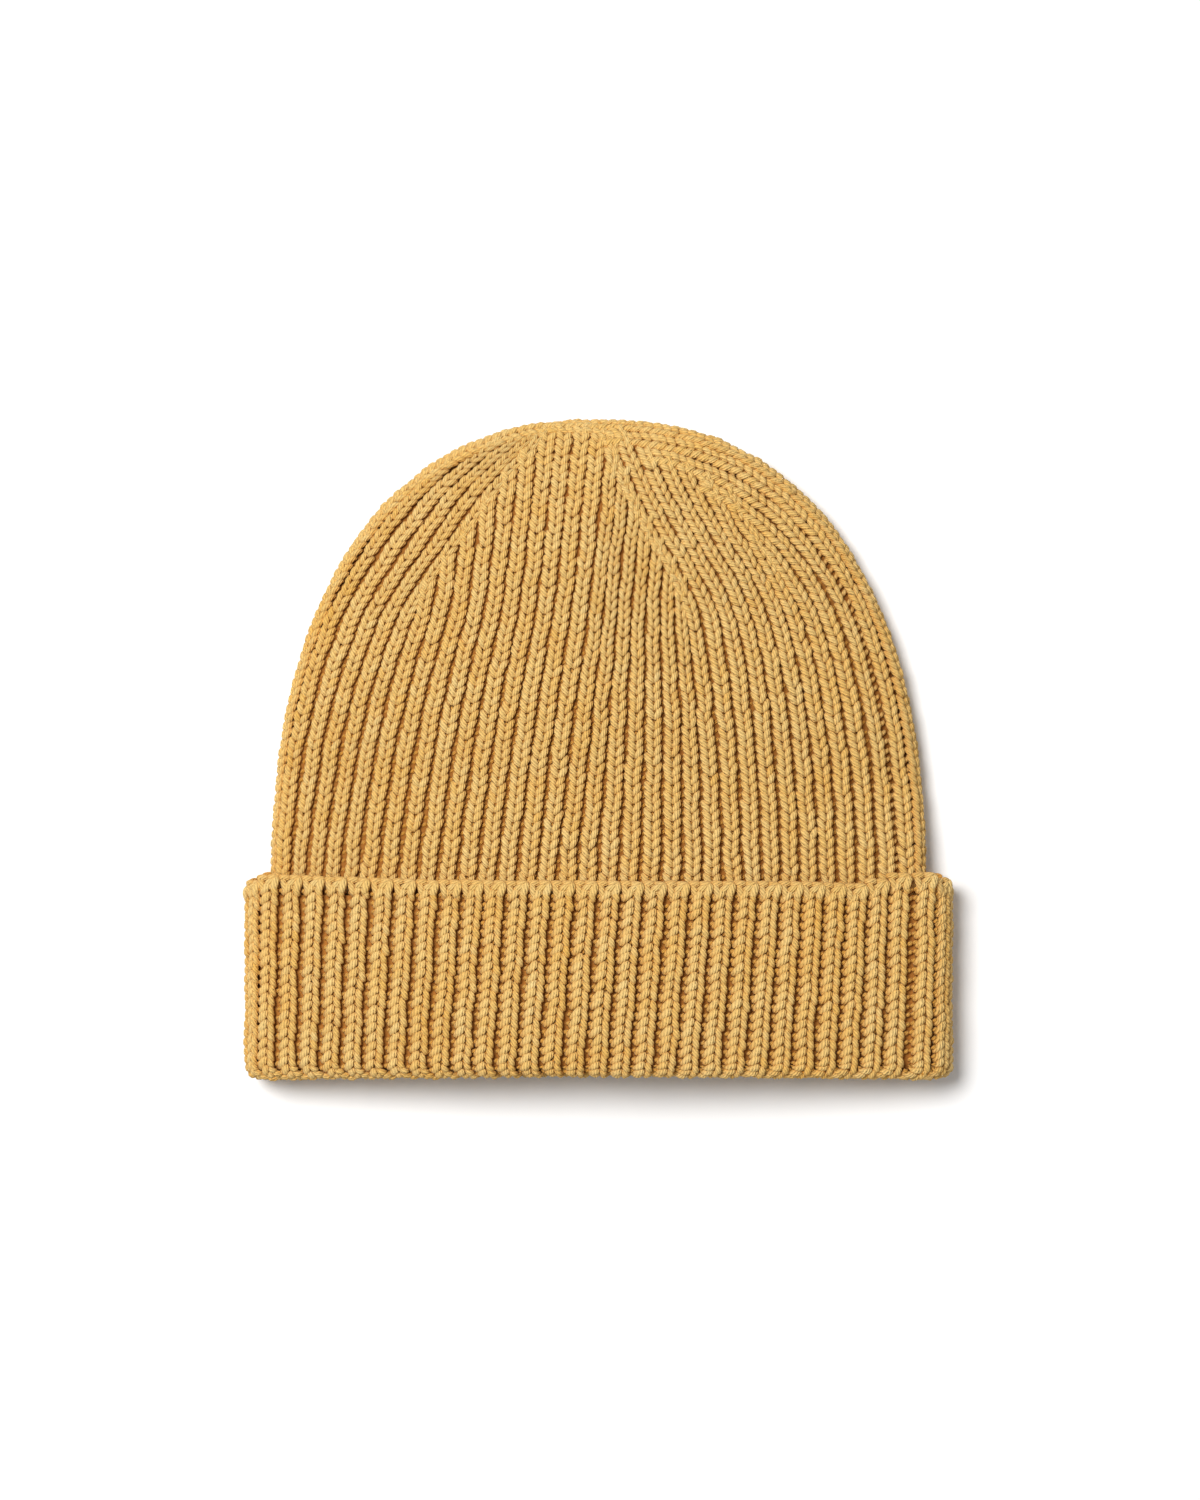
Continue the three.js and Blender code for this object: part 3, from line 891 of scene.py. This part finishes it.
def lay_crown_column(path, on_front, furrow=0.0, bars_end=CROWN_BARS_END):
    """Lays one column on the crown. furrow narrows it beside the gap that is drawn open."""
    x, y = path["points"][:, 0], path["points"][:, 1]
    scale = np.interp(y, WIDTH_LEVELS, WIDTHS_UP)
    scale *= path["pitch"] / STITCH_WIDTH
    scale *= 1 - furrow * smoothstep(*FURROW_START, y) * (1 - smoothstep(*FURROW_END, y))
    scale *= np.interp(x, WIDTH_PLACES, WIDTHS_ACROSS)
    laid = knit_column(
        crown_front if on_front else crown_back, crown_bars, path,
        lambda at: np.interp(at, path["length"], scale), (LEFT_LEG, RIGHT_LEG), PURL_BAR,
        bars_end=bars_end,
    )
    if laid and on_front:
        at, widths, tones, shifts = laid
        crown_hearts.lay(path, at, HEART, widths, tones, shifts)
        if furrow:
            strand_tones = tones + FURROW_TONE
            crown_bars.lay(path, at, FURROW_STRAND, np.ones(len(at)), strand_tones, shifts)


CROWN_START = -48.0
FRONT_HEIGHT = EDGE_HEIGHT + 1
for rib in range(RIBS):
    # A point a third of the way up tells whether the column is on the front.
    path = crown_path(rib + 0.5, CROWN_START)
    on_front = path["points"][len(path["points"]) // 3][2] > FRONT_HEIGHT
    lay_crown_column(path, on_front, FURROW if rib in FURROW_RIBS else 0.0)

WALL_START = 82.0
WALL_END = 4.0
WALL_POINTS = 90
WALL_PITCH = 5.4
for side in (-1.0, 1.0):
    # One column covers the wall between the front's edge and the back's, where they draw apart.
    wall_x = np.linspace(WALL_START, WALL_END, WALL_POINTS)
    reach = (1 - (wall_x / CROWN_HALF_WIDTH) ** OUTLINE_POWER) ** (1 / OUTLINE_POWER)
    wall_y = CUFF_TOP + (CROWN_TOP - CUFF_TOP) * reach
    section = crown_section(wall_y)
    wall = np.stack([side * wall_x, wall_y, section["low"] + section["radius"]], -1)
    step = np.gradient(wall, axis=0)
    outward = np.stack([side * step[:, 1], -side * step[:, 0], 0 * wall_x], -1)
    outward /= np.linalg.norm(outward, axis=1)[:, None]
    wall_path = smooth_path(wall, outward, np.full(WALL_POINTS, WALL_PITCH))
    lay_crown_column(wall_path, False, bars_end=0.0)

GATHER_START = -18.0
GATHER_END = 0.0
GATHER_POINTS = 40
GATHER_LEVEL = 103.3
GATHER_PITCH = 4.4
gather_x = np.linspace(GATHER_START, GATHER_END, GATHER_POINTS)
gather_y = np.full(GATHER_POINTS, GATHER_LEVEL)
gather_points, gather_normals = on_crown(gather_x, gather_y, True)
gather = smooth_path(gather_points, gather_normals, np.full(GATHER_POINTS, GATHER_PITCH))
lay_crown_column(gather, True, bars_end=0.0)
crown_front.join("crown_front_stitches", plied_yarn)
crown_back.join("crown_back_stitches", plied_yarn)
crown_bars.join("crown_purl_bars", plied_yarn)
crown_hearts.join("crown_stitch_hearts", plied_yarn)

# The cuff: the same tube of ribbing turned up over itself, so its stitches hang point up. Its free
# edge is the cast-on row. Below, the fabric bends round at the mouth and runs on up inside the hat.
CUFF_FRONT_RIBS = 29
CUFF_GAPS = np.array([
    # number of the gap between two ribs, counted from the left; its x at the fold
    (0, -103.2),
    (5, -68.3),
    (10, -33.4),
    (15, 2.8),
    (20, 39.0),
    (25, 75.2),
    (28, 97.1),
    (29, 107.0),
])
CUFF_EDGE = np.array([
    # x, y of the free edge on the front
    (-113.0, -42.0),
    (-60.0, -43.6),
    (60.0, -44.2),
    (80.0, -45.0),
    (96.0, -41.4),
    (113.0, -42.0),
])
EDGE_TOP = 0.6
CORNER_START = 104.0
CORNER_DROP = 3.4
CUFF_STEP = 0.6
CUFF_LEAN = 4.0
LEAN_LIMIT = 1.6
LEAN_FADE = 5.6
FOLD_TURN = math.pi * FOLD_RADIUS
LINING_RISE = 34.0
CUFF_PITCH = 7.2
CUFF_PASSES = 2


def cuff_run(rib, section):
    """Distance round the cuff of a column's middle, at the fold."""
    if 0 <= rib < CUFF_FRONT_RIBS:
        return ring_length(section, np.interp(rib, CUFF_GAPS[:, 0], CUFF_GAPS[:, 1]))
    whole = 2 * (section["front"] + section["back"])
    first = ring_length(section, CUFF_GAPS[0, 1])
    last = ring_length(section, CUFF_GAPS[-1, 1])
    share = (rib - CUFF_FRONT_RIBS) / (RIBS - CUFF_FRONT_RIBS)
    return last + share * (whole - (last - first))


def cuff_path(rib):
    """Middle line of one column of the cuff, from the free edge round the fold to the inside."""
    outer = cuff_section(np.array(0.0))
    whole = 2 * (outer["front"] + outer["back"])
    share = float(cuff_run(rib, outer)) / float(whole)
    at_fold = on_ring(outer, np.array(0.0), share * whole)
    front = (share + 0.5) % 1 - 0.5
    on_front = abs(front) < QUARTER
    edge = np.interp(at_fold[0], CUFF_EDGE[:, 0], CUFF_EDGE[:, 1]) if on_front else CUFF_TOP
    corner = max(0.0, (abs(at_fold[0]) - CORNER_START) / (CUFF_HALF_WIDTH - CORNER_START))
    edge -= CORNER_DROP * corner**2
    fold_centre = FOLD_CENTRE + float(fold_lift(front))
    straight = edge + EDGE_TOP - fold_centre
    run = np.arange(0, straight + FOLD_TURN + LINING_RISE, CUFF_STEP)
    turned = np.clip((run - straight) / FOLD_RADIUS, 0, math.pi)
    inside = np.maximum(run - straight - FOLD_TURN, 0)
    y = np.maximum(edge + EDGE_TOP - run, fold_centre) - FOLD_RADIUS * np.sin(turned) + inside
    inset = FOLD_RADIUS * (1 - np.cos(turned))
    leaning = min(1.0, LEAN_LIMIT - abs(front) * LEAN_FADE)
    lean = CUFF_LEAN * np.clip(1 - run / straight, 0, 1) * leaning
    points, normals = [], []
    for i in range(len(run)):
        section = cuff_section(y[i], inset[i])
        own_whole = 2 * (section["front"] + section["back"])
        along = share * own_whole + lean[i]
        point = on_ring(section, y[i], along)
        ahead = on_ring(section, y[i], along + PROBE) - point
        flat = np.array([-ahead[2], 0, ahead[0]])
        flat /= np.linalg.norm(flat)
        normal = math.cos(turned[i]) * flat - math.sin(turned[i]) * np.array([0, 1, 0])
        points.append(point)
        normals.append(normal)
    pitch = np.full(len(points), CUFF_PITCH)
    return smooth_path(np.array(points), np.array(normals), pitch, passes=CUFF_PASSES)


CUFF_LEGS = (
    # The cuff's columns run downwards, so across points to the left as seen from the front.
    # The rope is painted a little darker and the grains a little lighter, to even out how the light
    # falls on them.
    {
        "from": (-0.9, -1.75, -1.85), "over": (-1.5, 0.4, -1.1), "to": (-2.1, 2.55, -2.0),
        "width": 1.14, "thick": 1.13, "roll": -0.1, "tone": -0.05,
    },
    {
        "from": (-0.1, -2.1, -1.65), "over": (1.45, 0.15, -1.05), "to": (3.3, 2.5, -2.4),
        "width": 1.38, "thick": 1.17, "roll": -0.1, "swell": -0.06, "tone": 0.04,
    },
)
CUFF_FIN = {
    "from": (2.6, 0.0, -2.5), "over": (3.45, 0.6, -2.05), "to": (4.35, 1.2, -2.7),
    "width": 0.68, "thick": 0.72,
}
CUFF_LADDER = {
    "from": (4.2, 0.5, -2.7), "over": (5.3, 1.1, -2.2), "to": (6.4, 1.7, -2.8),
    "width": 0.75, "thick": 0.8,
}
CUFF_HEART = {
    "from": (-0.35, -0.4, -2.45), "over": (-0.3, 0.7, -2.1), "to": (-0.25, 1.8, -2.45),
    "width": 0.8, "thick": 0.6,
}
CAST_ON = (
    # The smooth first leg, the rope's wider head, and the bar that ties them.
    {
        "from": (3.6, -1.2, -1.5), "over": (2.75, 1.4, -1.0), "to": (1.9, 4.2, -1.6),
        "width": 1.12, "thick": 1.05, "roll": -0.1,
    },
    {
        "from": (-2.5, -1.3, -1.5), "over": (-1.75, 1.0, -0.85), "to": (-1.15, 3.6, -1.2),
        "width": 1.34, "thick": 1.2, "roll": -0.1,
    },
    {
        "from": (-1.2, 1.2, -1.8), "over": (0.3, 2.0, -1.15), "to": (1.8, 2.8, -1.8),
        "width": 0.75, "thick": 0.75, "roll": -0.1,
    },
    # The loop of the cast-on row that lies above the opening of the first stitch.
    {
        "from": (-1.7, -0.55, -1.4), "over": (0.1, 0.4, -0.5), "to": (1.9, 1.3, -1.5),
        "width": 1.05, "thick": 0.8, "roll": -0.1,
    },
    # The soft edge itself.
    {
        "from": (-3.2, -0.8, -2.0), "over": (-0.9, -0.9, -1.5), "to": (1.3, -1.0, -2.0),
        "width": 1.1, "thick": 1.1, "roll": -0.05,
    },
    {
        "from": (0.6, -0.95, -2.0), "over": (2.7, -0.85, -1.5), "to": (4.9, -0.7, -2.0),
        "width": 1.1, "thick": 1.1, "roll": -0.05,
    },
)

CUFF_CREST = 0.6
CUFF_FIRST_STITCH = 2.6
EDGE_POINT = 3
LADDER_RIB = 28
LADDER_END = 56.0
EDGE_TONE = 0.39
EDGE_TONE_SWAY = 0.03
EDGE_SWAY = 0.08
cuff_front = YarnBatch(fine_grain)
cuff_back = YarnBatch(fine_grain)
cuff_bars = YarnBatch(bar_grain)
cuff_edge = YarnBatch(grain_shape(sides=8, rings=7))
cuff_hearts = YarnBatch(bar_grain)
for rib in range(RIBS):
    path = cuff_path(rib + CUFF_CREST)
    on_front = path["points"][EDGE_POINT][2] > CUFF_RISE / 2
    at, widths, tones, shifts = knit_column(
        cuff_front if on_front else cuff_back, cuff_bars, path,
        lambda at: np.full(len(at), 1.0), CUFF_LEGS, CUFF_FIN, first=CUFF_FIRST_STITCH,
    )
    if on_front:
        cuff_hearts.lay(path, at, CUFF_HEART, widths, tones, shifts)
    if rib == LADDER_RIB:
        # The gap beside this rib is stretched wide, and shows its strands.
        above = at < LADDER_END
        cuff_bars.lay(path, at[above], CUFF_LADDER, widths[above], tones[above], shifts[above])
    for strand in CAST_ON:
        tone = EDGE_TONE + sway(1, EDGE_TONE_SWAY)
        shift = sway(3, EDGE_SWAY)[None]
        cuff_edge.lay(path, np.zeros(1), strand, np.ones(1), tone, shift)
cuff_edge.join("cuff_cast_on_edge", plied_yarn)
cuff_front.join("cuff_front_stitches", plied_yarn)
cuff_back.join("cuff_back_stitches", plied_yarn)
cuff_bars.join("cuff_purl_bars", plied_yarn)
cuff_hearts.join("cuff_stitch_hearts", plied_yarn)

# The cuff's fabric body: the inner layer of the turned-up brim, from its free edge down to the
# fold, round it, and up again against the crown.
# Painted shade: the body is dark brown, as shade in the valleys between the ribs.
CUFF_CORE_SHADE_COLOUR = (0.42, 0.165, 0.033, 1)
CUFF_CORE_DEPTH = 3.2
CUFF_INNER_DEPTH = WALL - 0.1
CUFF_OUTER_LEVELS = (-46.4, -60, -75, -90, FOLD_CENTRE)
CUFF_INNER_LEVELS = (-90.0, -70, -46.4)
FOLD_STEPS = 6
FOLD_INSIDE = FOLD_CENTRE + 0.8
cuff_rings = []
for y in CUFF_OUTER_LEVELS:
    cuff_rings.append(ring_at(cuff_section(y, CUFF_CORE_DEPTH), y))
core_fold = FOLD_RADIUS - CUFF_CORE_DEPTH
for step in range(1, FOLD_STEPS):
    turn = step / FOLD_STEPS * math.pi
    y = FOLD_CENTRE - core_fold * math.sin(turn)
    cuff_rings.append(ring_at(cuff_section(y, FOLD_RADIUS - core_fold * math.cos(turn)), y))
cuff_rings.append(ring_at(cuff_section(FOLD_CENTRE, FOLD_RADIUS + core_fold), FOLD_CENTRE))
cuff_rings.append(ring_at(cuff_section(FOLD_INSIDE, FOLD_RADIUS), FOLD_INSIDE))
for y in CUFF_INNER_LEVELS:
    cuff_rings.append(ring_at(cuff_section(y, CUFF_INNER_DEPTH), y))
cuff_rings.append(cuff_rings[0])
cuff_body = bpy.data.objects.new("cuff_fabric", body_of_rings("cuff_fabric", cuff_rings))
bpy.context.scene.collection.objects.link(cuff_body)
cuff_body.data.materials.append(
    yarn_material("cuff_fabric_shaded_yarn", plied=False, painted_shade_colour=CUFF_CORE_SHADE_COLOUR)
)
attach(cuff_body, "root")
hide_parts("cuff")

# The surface that the hat lies on, the light and the camera: plain white, lit from the upper left,
# seen from straight above.
FLOOR_SIZE = 6
FLOOR_COLOUR = (0.93, 0.925, 0.92, 1)
bpy.ops.mesh.primitive_plane_add(size=FLOOR_SIZE, location=(0, 0, 0))
floor = bpy.context.active_object
floor.name = "floor"
white = bpy.data.materials.new("white_floor")
white.use_nodes = True
white_shader = white.node_tree.nodes["Principled BSDF"]
white_shader.inputs["Base Color"].default_value = FLOOR_COLOUR
white_shader.inputs["Roughness"].default_value = 0.9
floor.data.materials.append(white)

world = bpy.data.worlds.new("studio")
world.use_nodes = True
background = world.node_tree.nodes["Background"]
background.inputs["Color"].default_value = (1, 1, 1, 1)
background.inputs["Strength"].default_value = 0.335
bpy.context.scene.world = world

LIGHT_PLACE = Vector((-0.66, 0.52, 1.8))
LIGHT_SIZE = 0.9
LIGHT_POWER = 43.3
lamp = bpy.data.lights.new("window_light", "AREA")
lamp.shape = "DISK"
lamp.size = LIGHT_SIZE
lamp.energy = LIGHT_POWER
light = bpy.data.objects.new("window_light", lamp)
bpy.context.scene.collection.objects.link(light)
light.location = LIGHT_PLACE
light.rotation_mode = "QUATERNION"
light.rotation_quaternion = (-LIGHT_PLACE).to_track_quat("-Z", "Y")

FRAME_HEIGHT = 0.480
LENS = 90.0
SENSOR = 36.0
SIGHT_LEVEL = 0.011
SIGHT_X = 0.0004
SIGHT_Y = -0.0003
camera = bpy.data.cameras.new("camera")
camera.lens = LENS
camera.sensor_width = SENSOR
viewer = bpy.data.objects.new("camera", camera)
bpy.context.scene.collection.objects.link(viewer)
distance = FRAME_HEIGHT / 2 * LENS / (SENSOR / 2)
viewer.location = (SIGHT_X, SIGHT_Y, SIGHT_LEVEL + distance)
bpy.context.scene.camera = viewer
bpy.context.scene.view_settings.view_transform = "Standard"
bpy.context.scene.view_settings.look = "None"
